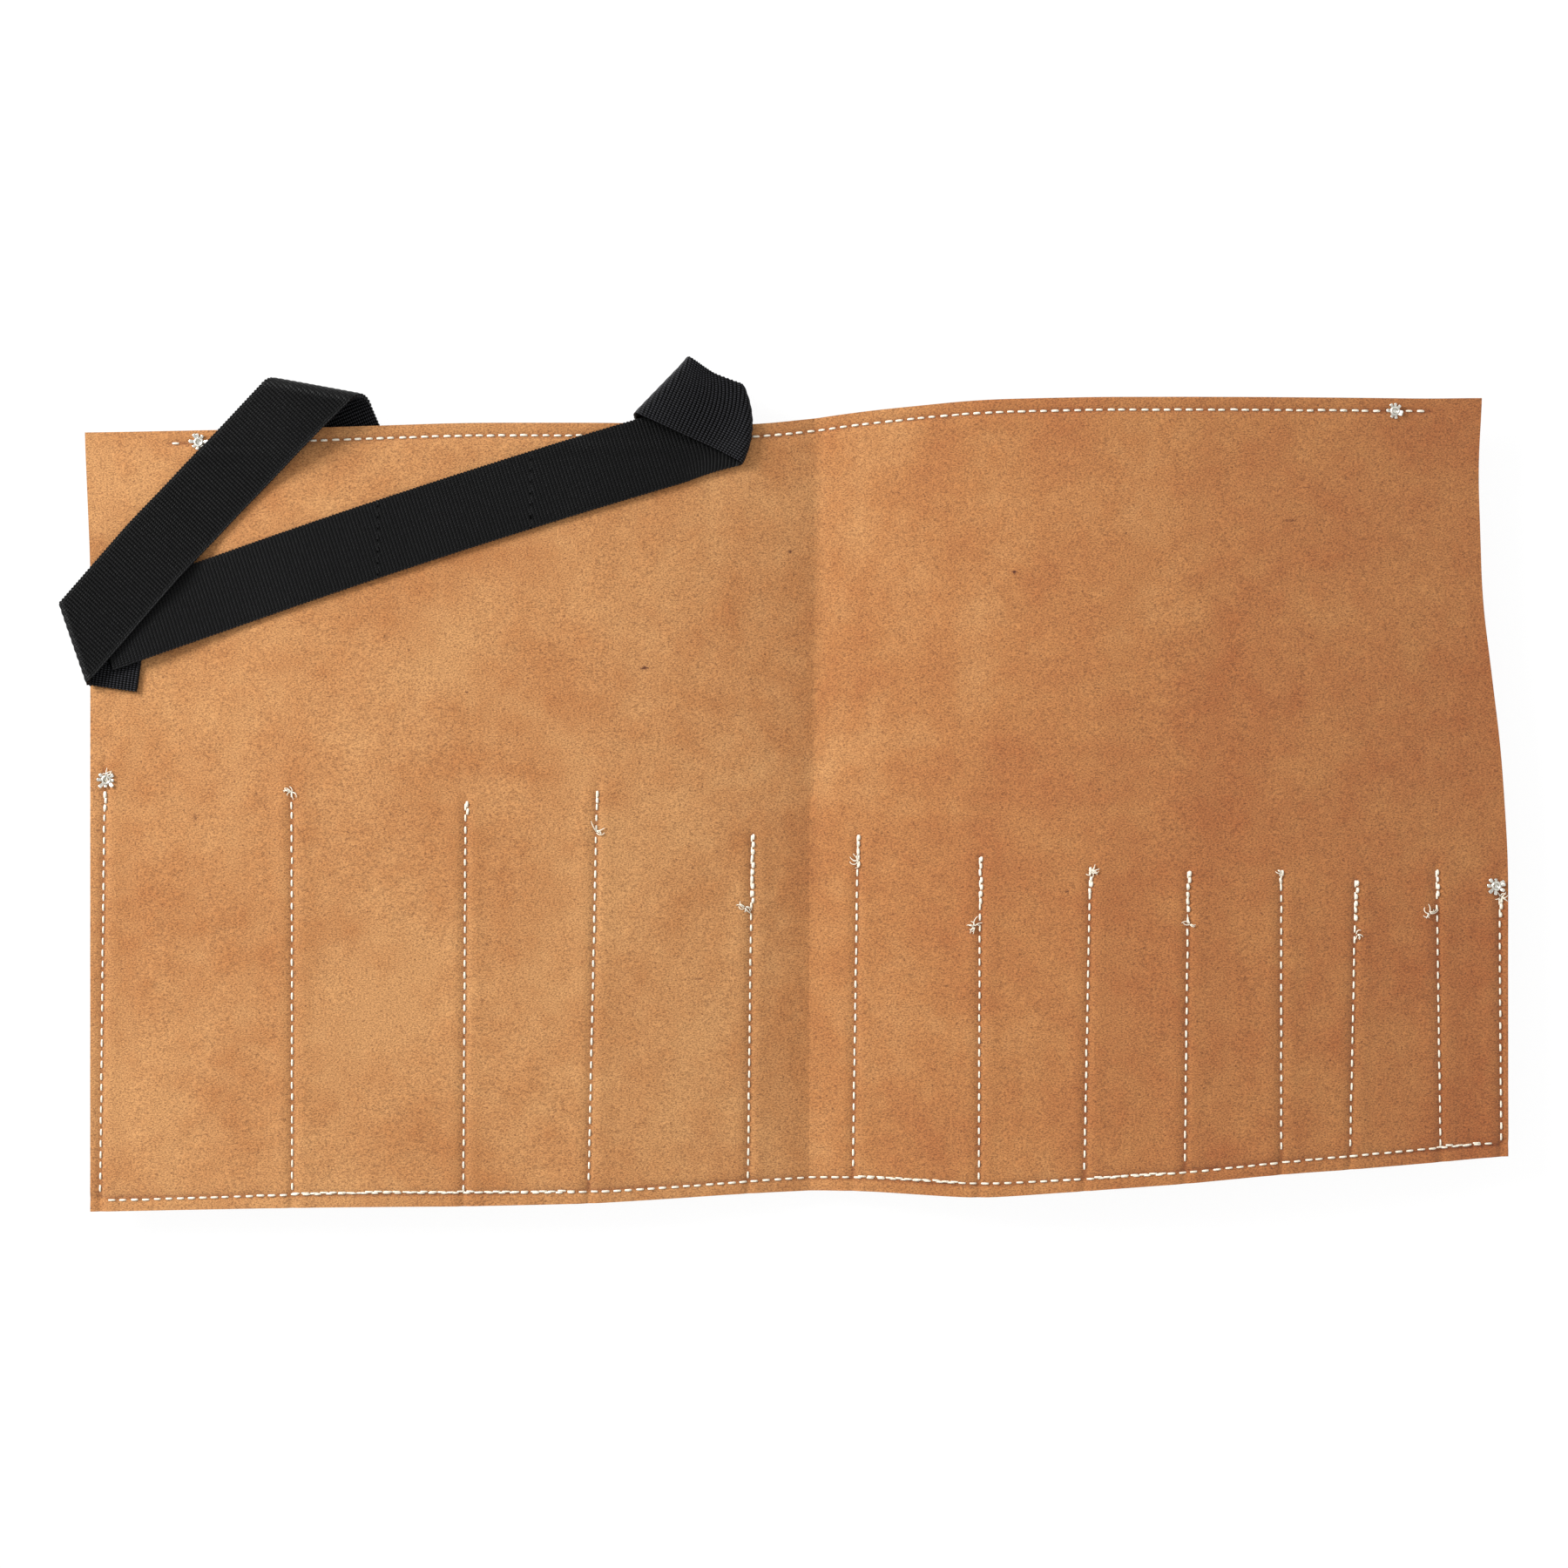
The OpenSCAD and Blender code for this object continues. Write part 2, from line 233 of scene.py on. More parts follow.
def make_object(name, points, faces, materials, uv=None, seam=None):
    """A smooth-shaded mesh object at the origin; uv gives one pair for each point, seam one number."""
    mesh = bpy.data.meshes.new(name)
    mesh.from_pydata(points.tolist(), [], faces.tolist())
    mesh.update()
    mesh.polygons.foreach_set("use_smooth", np.ones(len(mesh.polygons), bool))
    edge_of_loop = np.zeros(len(mesh.loops), np.int32)
    mesh.loops.foreach_get("edge_index", edge_of_loop)
    rim = np.bincount(edge_of_loop, minlength=len(mesh.edges)) == 1
    mesh.attributes.new("sharp_edge", "BOOLEAN", "EDGE").data.foreach_set("value", rim)
    for m in materials:
        mesh.materials.append(m)
    if uv is not None:
        layer = mesh.uv_layers.new(name="lay")
        index = np.zeros(len(mesh.loops), np.int32)
        mesh.loops.foreach_get("vertex_index", index)
        layer.data.foreach_set("uv", uv[index].astype(np.float32).ravel())
    if seam is not None:
        mesh.attributes.new("seam", "FLOAT", "POINT").data.foreach_set("value", seam.astype(np.float32))
    obj = bpy.data.objects.new(name, mesh)
    bpy.context.scene.collection.objects.link(obj)
    return obj


def thicken(obj, thickness, offset, rim):
    """Gives a sheet its thickness; rim is the place of the cut edge's material."""
    m = obj.modifiers.new("thickness", "SOLIDIFY")
    m.thickness = thickness
    m.offset = offset
    m.use_even_offset = False
    m.material_offset_rim = rim


def spaced(start, stop, step, extra=()):
    """Even spacing and the extra lines, sorted; apart from the last, none closer than a fifth of a mm."""
    lines = np.concatenate([np.arange(start, stop, step), [stop], np.asarray(extra, float)])
    lines = np.unique(np.clip(lines, start, stop))
    keep = np.concatenate([[True], np.diff(lines) > 0.2 * MM])
    keep[-1] = True
    return lines[keep]


def blend_sheet(obj):
    """Bakes the piece's transform into its mesh."""
    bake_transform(obj)


def cut_columns(xs, k):
    """First and last column of the piece about seam k, from middle to middle of its sections."""
    low = 0 if k == 1 else np.searchsorted(xs, middle_x[k - 1])
    high = len(xs) - 1 if k == SECTIONS - 1 else np.searchsorted(xs, middle_x[k])
    return low, high


# ---------------------------------------------------------------- materials

def linear(hex_colour):
    """sRGB hex to linear RGBA."""
    c = np.array([int(hex_colour[i:i + 2], 16) for i in (1, 3, 5)]) / 255
    c = np.where(c <= 0.04045, c / 12.92, ((c + 0.055) / 1.055) ** 2.4)
    return (*c.tolist(), 1.0)


def node(tree, kind, settings=None, links=None):
    """Adds a node, sets its properties or input values, and links its inputs."""
    n = tree.nodes.new(kind)
    for key, value in (settings or {}).items():
        if isinstance(key, int) or key in n.inputs:
            n.inputs[key].default_value = value
        else:
            setattr(n, key, value)
    for key, source in (links or {}).items():
        tree.links.new(source, n.inputs[key])
    return n


def new_material(name):
    """An empty material, with its node tree and its shader."""
    m = bpy.data.materials.new(name)
    m.use_nodes = True
    tree = m.node_tree
    shader = tree.nodes["Principled BSDF"]
    return m, tree, shader


def ramp(tree, factor, stops):
    """A colour ramp between hex colours at the given places."""
    r = node(tree, "ShaderNodeValToRGB", links={0: factor})
    while len(r.color_ramp.elements) < len(stops):
        r.color_ramp.elements.new(0.5)
    for element, (place, colour) in zip(r.color_ramp.elements, stops):
        element.position = place
        element.color = linear(colour)
    return r.outputs["Color"]


TINT = {"data_type": "RGBA", "blend_type": "MULTIPLY"}


def split_leather(name, light, dark, deep, tone_and_painted_shade_along_x, scars=()):
    """Vegetable-tanned split leather, buffed: a dull, short, uneven nap with dark pores and soft mottling."""
    m, tree, shader = new_material(name)
    place = node(tree, "ShaderNodeTexCoord").outputs["Object"]
    mottle = node(
        tree, "ShaderNodeTexNoise", {"Scale": 22, "Detail": 4, "Roughness": 0.55}, {"Vector": place}
    )
    patches = node(
        tree, "ShaderNodeTexNoise", {"Scale": 95, "Detail": 5, "Roughness": 0.65}, {"Vector": place}
    )
    # Real nap fibres are about 0.2 mm; these are drawn about 0.7 mm wide so that they show
    brushed = node(tree, "ShaderNodeMapping", {"Scale": (1.0, 1.7, 1.3)}, {"Vector": place}).outputs[0]
    nap = node(
        tree, "ShaderNodeTexNoise", {"Scale": 1450, "Detail": 3, "Roughness": 0.75}, {"Vector": brushed}
    )
    fine = node(
        tree, "ShaderNodeTexNoise", {"Scale": 2600, "Detail": 2, "Roughness": 0.7}, {"Vector": brushed}
    )
    # Pores: dark specks, from a third of a millimetre to a millimetre across
    pores = node(tree, "ShaderNodeTexVoronoi", {"Scale": 380, "Randomness": 1.0}, {"Vector": place})
    # Darker towards +X, up to the given amount: partly the leather's own uneven tone, partly painted shade on
    # the half that slopes away from the light
    x = node(tree, "ShaderNodeSeparateXYZ", links={0: place}).outputs["X"]
    along = node(
        tree, "ShaderNodeMapRange",
        {"From Min": -0.05, "From Max": 0.25, "To Min": 0.0, "To Max": tone_and_painted_shade_along_x}, {"Value": x}
    )
    tone = node(
        tree, "ShaderNodeMath", {"operation": "MULTIPLY_ADD", 1: 0.55, 2: 0.0}, {0: mottle.outputs[0]}
    )
    tone = node(
        tree, "ShaderNodeMath", {"operation": "MULTIPLY_ADD", 1: 0.35},
        {0: patches.outputs[0], 2: tone.outputs[0]}
    )
    tone = node(tree, "ShaderNodeMath", {"operation": "ADD"}, {0: tone.outputs[0], 1: along.outputs[0]})
    base = ramp(tree, tone.outputs[0], [(0.36, light), (0.56, dark), (0.95, deep)])
    speck = ramp(tree, nap.outputs[0], [(0.36, "#8c8278"), (0.5, "#dedad6"), (0.62, "#ffffff")])
    coloured = node(tree, "ShaderNodeMix", {**TINT, 0: 0.8}, {6: base, 7: speck})
    dots = ramp(tree, pores.outputs["Distance"], [(0.06, "#9a8070"), (0.2, "#ffffff")])
    coloured = node(tree, "ShaderNodeMix", {**TINT, 0: 0.5}, {6: coloured.outputs[2], 7: dots})
    # Painted shade: the leather is darkened towards #a3653a, by up to half, in the seams' grooves, where the
    # seam attribute is high
    seam = node(tree, "ShaderNodeAttribute", {"attribute_name": "seam"}).outputs["Fac"]
    painted_groove_shade = node(tree, "ShaderNodeMath", {"operation": "MULTIPLY", 1: 0.5}, {0: seam})
    coloured = node(
        tree, "ShaderNodeMix", {**TINT, 7: linear("#a3653a")}, {0: painted_groove_shade.outputs[0], 6: coloured.outputs[2]}
    )
    for (sx, sy), long, wide, strength in scars:
        at = node(
            tree, "ShaderNodeMapping",
            {
                "vector_type": "POINT", "Location": (-sx / long, -sy / wide, 0),
                "Scale": (1 / long, 1 / wide, 0)
            },
            {"Vector": place}
        )
        far = node(tree, "ShaderNodeVectorMath", {"operation": "LENGTH"}, {0: at.outputs[0]})
        ragged = node(
            tree, "ShaderNodeMath", {"operation": "MULTIPLY_ADD", 1: 1.6},
            {0: nap.outputs[0], 2: far.outputs["Value"]}
        )
        spot = node(
            tree, "ShaderNodeMapRange", {"From Min": 1.1, "From Max": 2.0, "To Min": strength, "To Max": 0.0},
            {"Value": ragged.outputs[0]}
        )
        coloured = node(
            tree, "ShaderNodeMix", {**TINT, 7: linear("#6b3a22")},
            {0: spot.outputs[0], 6: coloured.outputs[2]}
        )
    tree.links.new(coloured.outputs[2], shader.inputs["Base Color"])
    height = node(
        tree, "ShaderNodeMath", {"operation": "MULTIPLY_ADD", 1: 0.5}, {0: fine.outputs[0], 2: nap.outputs[0]}
    )
    height = node(
        tree, "ShaderNodeMath", {"operation": "MULTIPLY_ADD", 1: 2.0},
        {0: patches.outputs[0], 2: height.outputs[0]}
    )
    bump = node(
        tree, "ShaderNodeBump", {"Strength": 0.7, "Distance": 0.4 * MM}, {"Height": height.outputs[0]}
    )
    tree.links.new(bump.outputs[0], shader.inputs["Normal"])
    shader.inputs["Roughness"].default_value = 0.92
    shader.inputs["Specular IOR Level"].default_value = 0.25
    shader.inputs["Sheen Weight"].default_value = 0.12
    shader.inputs["Sheen Roughness"].default_value = 0.6
    return m


def cut_edge_leather():
    """The raw cut edge: darker than the face, with fibres standing out across it."""
    m, tree, shader = new_material("raw cut leather edge")
    place = node(tree, "ShaderNodeTexCoord").outputs["Object"]
    fibres = node(
        tree, "ShaderNodeTexNoise", {"Scale": 1500, "Detail": 4, "Roughness": 0.7}, {"Vector": place}
    )
    tree.links.new(
        ramp(tree, fibres.outputs[0], [(0.3, "#5f371c"), (0.55, "#8e5a33"), (0.75, "#ad7c52")]),
        shader.inputs["Base Color"]
    )
    bump = node(
        tree, "ShaderNodeBump", {"Strength": 0.8, "Distance": 0.3 * MM}, {"Height": fibres.outputs[0]}
    )
    tree.links.new(bump.outputs[0], shader.inputs["Normal"])
    shader.inputs["Roughness"].default_value = 0.95
    return m


def nylon_webbing():
    """Black nylon webbing: weft ribs made in the mesh, crossed by fine warp yarns with a slight shine; where
    warp and ribs rise, the colour is lighter, a painted highlight.
    """
    m, tree, shader = new_material("black nylon webbing")
    uv = node(tree, "ShaderNodeUVMap", {"uv_map": "lay"}).outputs[0]
    # Warp yarns lie 0.75 mm apart, ribs 1.2 mm; a wave repeats every 2 pi over 20 times its scale
    warp = node(
        tree, "ShaderNodeTexWave",
        {
            "wave_type": "BANDS", "bands_direction": "Y", "Scale": 420, "Distortion": 0.6, "Detail": 1,
            "Detail Scale": 3
        },
        {"Vector": uv}
    )
    ribs = node(
        tree, "ShaderNodeTexWave",
        {"wave_type": "BANDS", "bands_direction": "X", "Scale": 262, "Distortion": 0.3}, {"Vector": uv}
    )
    fuzz = node(tree, "ShaderNodeTexNoise", {"Scale": 2600, "Detail": 3}, {"Vector": uv})
    product = node(
        tree, "ShaderNodeMath", {"operation": "MULTIPLY"}, {0: warp.outputs[1], 1: ribs.outputs[1]}
    )
    mixed = node(
        tree, "ShaderNodeMath", {"operation": "MULTIPLY_ADD", 1: 0.5},
        {0: fuzz.outputs[0], 2: product.outputs[0]}
    )
    # Painted highlight: the colour goes from near black to dark grey where warp yarns and rib crests meet
    tree.links.new(
        ramp(tree, mixed.outputs[0], [(0.35, "#010101"), (0.65, "#040405"), (1.0, "#303034")]),
        shader.inputs["Base Color"]
    )
    bump = node(
        tree, "ShaderNodeBump", {"Strength": 1.0, "Distance": 0.35 * MM}, {"Height": mixed.outputs[0]}
    )
    tree.links.new(bump.outputs[0], shader.inputs["Normal"])
    shader.inputs["Roughness"].default_value = 0.45
    shader.inputs["Specular IOR Level"].default_value = 0.11
    return m


def waxed_thread():
    """Off-white waxed polyester thread, two plies twisted together."""
    m, tree, shader = new_material("waxed thread")
    place = node(tree, "ShaderNodeTexCoord").outputs["Object"]
    plies = node(tree, "ShaderNodeTexNoise", {"Scale": 2200, "Detail": 3}, {"Vector": place})
    tree.links.new(
        ramp(tree, plies.outputs[0], [(0.3, "#b5a98f"), (0.5, "#d5cdbc"), (0.7, "#e2dccf")]),
        shader.inputs["Base Color"]
    )
    bump = node(
        tree, "ShaderNodeBump", {"Strength": 0.5, "Distance": 0.15 * MM}, {"Height": plies.outputs[0]}
    )
    tree.links.new(bump.outputs[0], shader.inputs["Normal"])
    shader.inputs["Roughness"].default_value = 0.7
    return m


def nickel_plate():
    """Nickel-plated steel rivets, stamped: bright, with fine scratches."""
    m, tree, shader = new_material("nickel-plated steel")
    place = node(tree, "ShaderNodeTexCoord").outputs["Object"]
    scratches = node(tree, "ShaderNodeTexNoise", {"Scale": 1200, "Detail": 5}, {"Vector": place})
    tree.links.new(
        ramp(tree, scratches.outputs[0], [(0.3, "#a9a69c"), (0.6, "#dedbd2")]), shader.inputs["Base Color"]
    )
    rough = node(
        tree, "ShaderNodeMapRange", {"To Min": 0.25, "To Max": 0.45}, {"Value": scratches.outputs[0]}
    )
    tree.links.new(rough.outputs[0], shader.inputs["Roughness"])
    shader.inputs["Metallic"].default_value = 1.0
    return m


# Healed scars of the hide: place, half length and half width, and how dark each is
SCARS = [
    ((-0.0476, 0.0405), 1.6 * MM, 0.8 * MM, 0.9), ((0.0774, 0.0728), 1.0 * MM, 0.7 * MM, 1.0),
    ((0.0018, 0.0804), 0.9 * MM, 0.6 * MM, 0.8), ((-0.1077, 0.0323), 0.7 * MM, 0.5 * MM, 0.7),
    ((-0.2000, -0.0100), 0.8 * MM, 1.4 * MM, 0.5), ((0.1700, 0.0900), 3.5 * MM, 0.5 * MM, 0.4),
    ((0.0950, -0.0350), 0.7 * MM, 0.7 * MM, 0.6), ((-0.0290, -0.0650), 2.2 * MM, 0.4 * MM, 0.5),
]

# The fourth number is how far each leather darkens towards +X: partly its own tone, partly painted shade
back_leather = split_leather("buffed split leather", "#bc8854", "#ad7340", "#94491f", 0.27, SCARS)
inner_leather = split_leather("inner split leather", "#b27b50", "#a36a41", "#834c29", 0.1)
edge_leather = cut_edge_leather()
webbing = nylon_webbing()
thread = waxed_thread()
nickel = nickel_plate()


# ---------------------------------------------------------------- back panel

def side_edge(k, side, y):
    """X of the case's outer or inner end at height y, through the corners of its end section, smoothed."""
    p = panel[k]
    rivet_low, rivet_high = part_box("rivet_pocket_outer" if side == "left" else "rivet_pocket_inner")
    x, height = p[:, 0], p[:, 1]
    in_bore = (x > rivet_low.x) & (x < rivet_high.x) & (height > rivet_low.y) & (height < rivet_high.y)
    near = x < x.min() + 4 * MM if side == "left" else x > x.max() - 12 * MM
    corners = p[near & ~in_bore]
    heights = np.unique(np.round(corners[:, 1], 5))
    pick = np.min if side == "left" else np.max
    ends = np.array([pick(corners[np.abs(corners[:, 1] - h) < 0.1 * MM, 0]) for h in heights])
    return smooth_line(y, heights, ends, 14 * MM)


EDGE_LINES = np.array([0.25, 0.6, 1.1, 1.8]) * MM
GROOVE_LINES = np.array([-4.2, -2.8, -1.9, -1.2, -0.6, 0, 0.6, 1.2, 1.9, 2.8, 4.2]) * MM
near_seams = (seam_x[:, None] + GROOVE_LINES).ravel()
near_edges = np.concatenate([left_x + EDGE_LINES, right_x - EDGE_LINES])
columns = spaced(left_x, right_x, 1.5 * MM, np.concatenate([near_seams, near_edges, middle_x, [CREASE_X]]))

mean_height = 265 * MM
row_lines = np.concatenate([
    EDGE_LINES, EDGE_SEAM + GROOVE_LINES, mean_height - EDGE_LINES, mean_height - EDGE_SEAM - GROOVE_LINES
])
rows = spaced(0, mean_height, 1.6 * MM, row_lines) / mean_height


def back_grid():
    """Points of the back's upper face: columns from end to end, rows from the bottom edge to the top edge.

    The bottom and top edges run smoothly through the sections' corners. Rows near both keep their true
    distance from the edge. Within 35 mm of an end, columns move over to follow that end's outline.
    """
    low = edge_line(columns, bottom_y)
    high = edge_line(columns, top_y)
    v = rows[:, None]
    rise = v * mean_height
    spread = (high - low)[None, :] - mean_height
    share = np.clip((rise - 12 * MM) / (mean_height - 24 * MM), 0, 1)
    y = low[None, :] + rise + spread * share
    x = np.repeat(columns[None, :], len(rows), 0)
    fade_left = np.clip(1 - (x - left_x) / (35 * MM), 0, 1)
    fade_right = np.clip(1 - (right_x - x) / (35 * MM), 0, 1)
    move_left = (side_edge(0, "left", y) - left_x) * fade_left
    move_right = (side_edge(SECTIONS - 1, "right", y) - right_x) * fade_right
    x = x + move_left + move_right
    return x, y, back_height(x, y)


back_x, back_y, back_z = back_grid()


def make_back():
    """The back, cut at the middle of each section into pieces, each about one seam."""
    for k in range(1, SECTIONS):
        low, high = cut_columns(columns, k)
        part = (slice(None), slice(low, high + 1))
        points = np.stack([back_x[part], back_y[part], back_z[part]], -1)
        n_rows, n_cols = points.shape[:2]
        # Closeness to the seams, which the leather material uses to paint shade into the grooves
        seam = seam_closeness(points[..., 0], points[..., 1]).ravel()
        obj = make_object(
            "back_leather_" + two(k), points.reshape(-1, 3), grid_faces(n_rows, n_cols),
            [back_leather, edge_leather], seam=seam,
        )
        thicken(obj, BACK_T, -1, 1)
        blend_sheet(obj)
        names = ["back_panel_" + two(k)] + (["back_panel_12"] if k == SECTIONS - 1 else [])
        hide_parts(*names)


# ---------------------------------------------------------------- pocket panel

def pouch_depth(x, y):
    """How far the pocket leather hangs under its seams: full over the middle of each pocket, nothing at the
    seams, rounded off towards the bottom seam, and eased so that the pouch has soft shoulders."""
    depth = np.zeros_like(x)
    for k in range(SECTIONS):
        a, b = seam_place(k, y), seam_place(k + 1, y)
        flat = 4.5 * MM if k in (0, SECTIONS - 1) else 2.0 * MM
        run = min(POUCH, 0.14 * (seam_x[k + 1] - seam_x[k])) + 1.5 * MM
        left = np.clip((x - a - (flat if k == 0 else 2 * MM)) / run, 0, 1)
        right = np.clip((b - x - (flat if k == SECTIONS - 1 else 2 * MM)) / run, 0, 1)
        shoulders = np.sin(left * np.pi / 2) * np.sin(right * np.pi / 2)
        depth = np.where((x > a) & (x < b), shoulders, depth)
    bottom = np.interp(x, seam_x, bottom_y)
    up = np.clip((y - bottom - 5.5 * MM) / (11 * MM), 0, 1)
    return POUCH * depth * np.sin(up * np.pi / 2)


def make_pockets():
    """The pocket panel, sewn down at the seams, cut into pieces like the back."""
    cols = spaced(
        columns[0] + 0.3 * MM, columns[-1] - 0.3 * MM, 1.4 * MM, np.concatenate([near_seams, middle_x])
    )
    low = edge_line(cols, bottom_y)
    high = edge_line(cols, mouth_y)
    v = np.unique(np.concatenate([
        np.linspace(0, 0.15, 14), np.linspace(0.15, 1, 70), [0.002, 0.998]
    ]))[:, None]
    y = low[None, :] + (high - low)[None, :] * v
    x = np.repeat(cols[None, :], len(v), 0)
    x = x + (side_edge(0, "left", y) - left_x) * np.clip(1 - (x - left_x) / (20 * MM), 0, 1)
    x = x + (side_edge(SECTIONS - 1, "right", y) - right_x) * np.clip(1 - (right_x - x) / (20 * MM), 0, 1)
    under = back_height(x, y) - BACK_T - 0.02 * MM
    z = under - pouch_depth(x, y) + 0.25 * MM * ripple(x, y, 40 * MM, 8) * (pouch_depth(x, y) / POUCH)
    z = np.maximum(z, POCKET_T + 0.02 * MM)
    for k in range(1, SECTIONS):
        a, b = cut_columns(cols, k)
        part = (slice(None), slice(a, b + 1))
        points = np.stack([x[part], y[part], z[part]], -1)
        n_rows, n_cols = points.shape[:2]
        obj = make_object(
            "pocket_leather_" + two(k), points.reshape(-1, 3), grid_faces(n_rows, n_cols),
            [inner_leather, edge_leather]
        )
        thicken(obj, POCKET_T, -1, 1)
        blend_sheet(obj)
        names = ["pocket_" + two(k)] + (["pocket_12"] if k == SECTIONS - 1 else [])
        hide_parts(*names)


# ---------------------------------------------------------------- flap

# How far each strip is cut back at both sides: at the fold, and further towards its end
CUT_AT_FOLD = 2.4 * MM
CUT_FURTHER_AT_END = 2.9 * MM


def make_flap():
    """The flap, a strip for each section but the innermost, sewn under the top edge and folded in."""
    for k in range(1, SECTIONS):
        box_low, box_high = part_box("flap_" + two(k))
        side = 0.35 * MM
        x0 = box_low.x if k == 1 else seam_x[k - 1] + side
        x1 = box_high.x if k == SECTIONS - 1 else seam_x[k] - side
        cols = spaced(x0, x1, 2.5 * MM)
        top = np.interp(cols, seam_x, top_y) - 0.4 * MM
        fold = box_high.y
        v = spaced(0, 1, 0.016, [0.02, 0.05, 0.07, 0.09])[:, None]
        y = top[None, :] + (box_low.y - top[None, :]) * v
        drop = ease(fold + 3 * MM, fold - 9 * MM)(y)
        below = np.clip((fold - y) / (box_high.y - box_low.y), 0, 1)
        sag = below ** 2
        # Each strip is cut back at both sides, so that it clears its neighbours when the case is rolled
        cut_back = CUT_AT_FOLD * ease(fold + 11 * MM, fold + 4 * MM)(y) + CUT_FURTHER_AT_END * below
        half = (x1 - x0) / 2
        x = (x0 + x1) / 2 + (cols[None, :] - (x0 + x1) / 2) * (1 - cut_back / half)
        z = back_height(x, y) - BACK_T - 0.05 * MM - drop * 1.0 * MM - sag * 1.2 * MM
        z = z + 0.15 * MM * ripple(x, y, 35 * MM, 20)
        points = np.stack([x, y, z], -1)
        obj = make_object(
            "flap_leather_" + two(k), points.reshape(-1, 3), grid_faces(*points.shape[:2])[:, ::-1],
            [inner_leather, edge_leather]
        )
        thicken(obj, FLAP_T, -1, 1)
        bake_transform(obj)
        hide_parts("flap_" + two(k))


# ---------------------------------------------------------------- stitches

def stitch_template():
    """One stitch along X from 0 to 1: a six-sided tube that rises from the leather, swells and dips in."""
    u = np.array([0.0, 0.08, 0.3, 0.5, 0.7, 0.92, 1.0])
    radius = np.array([0.45, 0.85, 1.0, 1.05, 1.0, 0.85, 0.45])
    lift = np.array([-1.0, 0.1, 0.62, 0.75, 0.62, 0.1, -1.0])
    a = np.arange(6) * np.pi / 3
    y = radius[:, None] * np.cos(a)
    z = radius[:, None] * np.sin(a) * 0.85 + lift[:, None]
    x = np.repeat(u[:, None], 6, 1)
    ring = np.arange(6)
    faces = []
    for r in range(len(u) - 1):
        base = r * 6
        faces.append(np.stack(
            [base + ring, base + (ring + 1) % 6, base + 6 + (ring + 1) % 6, base + 6 + ring], -1
        ))
    return np.stack([x, y, z], -1).reshape(-1, 3), np.concatenate(faces)[:, ::-1]


TEMPLATE_POINTS, TEMPLATE_FACES = stitch_template()


def stitches_mesh(starts, ends, radius):
    """Puts the template stitch between each start and end on the back's surface; arrays of n by 2."""
    d = ends - starts
    length = np.linalg.norm(d, axis=1, keepdims=True)
    d = d / length
    side = np.stack([-d[:, 1], d[:, 0]], -1)
    t = TEMPLATE_POINTS
    lengthways = d[:, None, :] * (t[None, :, 0:1] * length[:, None, :])
    sideways = side[:, None, :] * (t[None, :, 1:2] * radius[:, None, None])
    xy = starts[:, None, :] + lengthways + sideways
    z = back_height(xy[..., 0], xy[..., 1]) + t[None, :, 2] * radius[:, None]
    points = np.concatenate([xy, z[..., None]], -1).reshape(-1, 3)
    faces = (TEMPLATE_FACES[None] + np.arange(len(starts))[:, None, None] * len(t)).reshape(-1, 4)
    return points, faces


def seam_stitches(path, pitch, share, wobble):
    """Starts and ends of stitches along a polyline: each takes its share of the pitch, a little uneven."""
    step = np.linalg.norm(np.diff(path, axis=0), axis=1)
    along = np.concatenate([[0], np.cumsum(step)])
    count = max(1, int(along[-1] / pitch))
    place = np.arange(count) * pitch + rng.uniform(-0.06, 0.06, count) * pitch
    a = place + (1 - share) / 2 * pitch
    b = a + share * pitch * rng.uniform(0.86, 1.0, count)

    def at(s):
        return np.stack([np.interp(s, along, path[:, 0]), np.interp(s, along, path[:, 1])], -1)

    jitter = rng.normal(0, wobble, (count, 2))
    return at(a) + jitter, at(b) + jitter * 0.5


# How far each seam's head is sewn over twice
BACK_TACK = np.array([9, 5, 14, 13, 26, 17, 20, 13, 18, 7, 19, 15, 10]) * MM


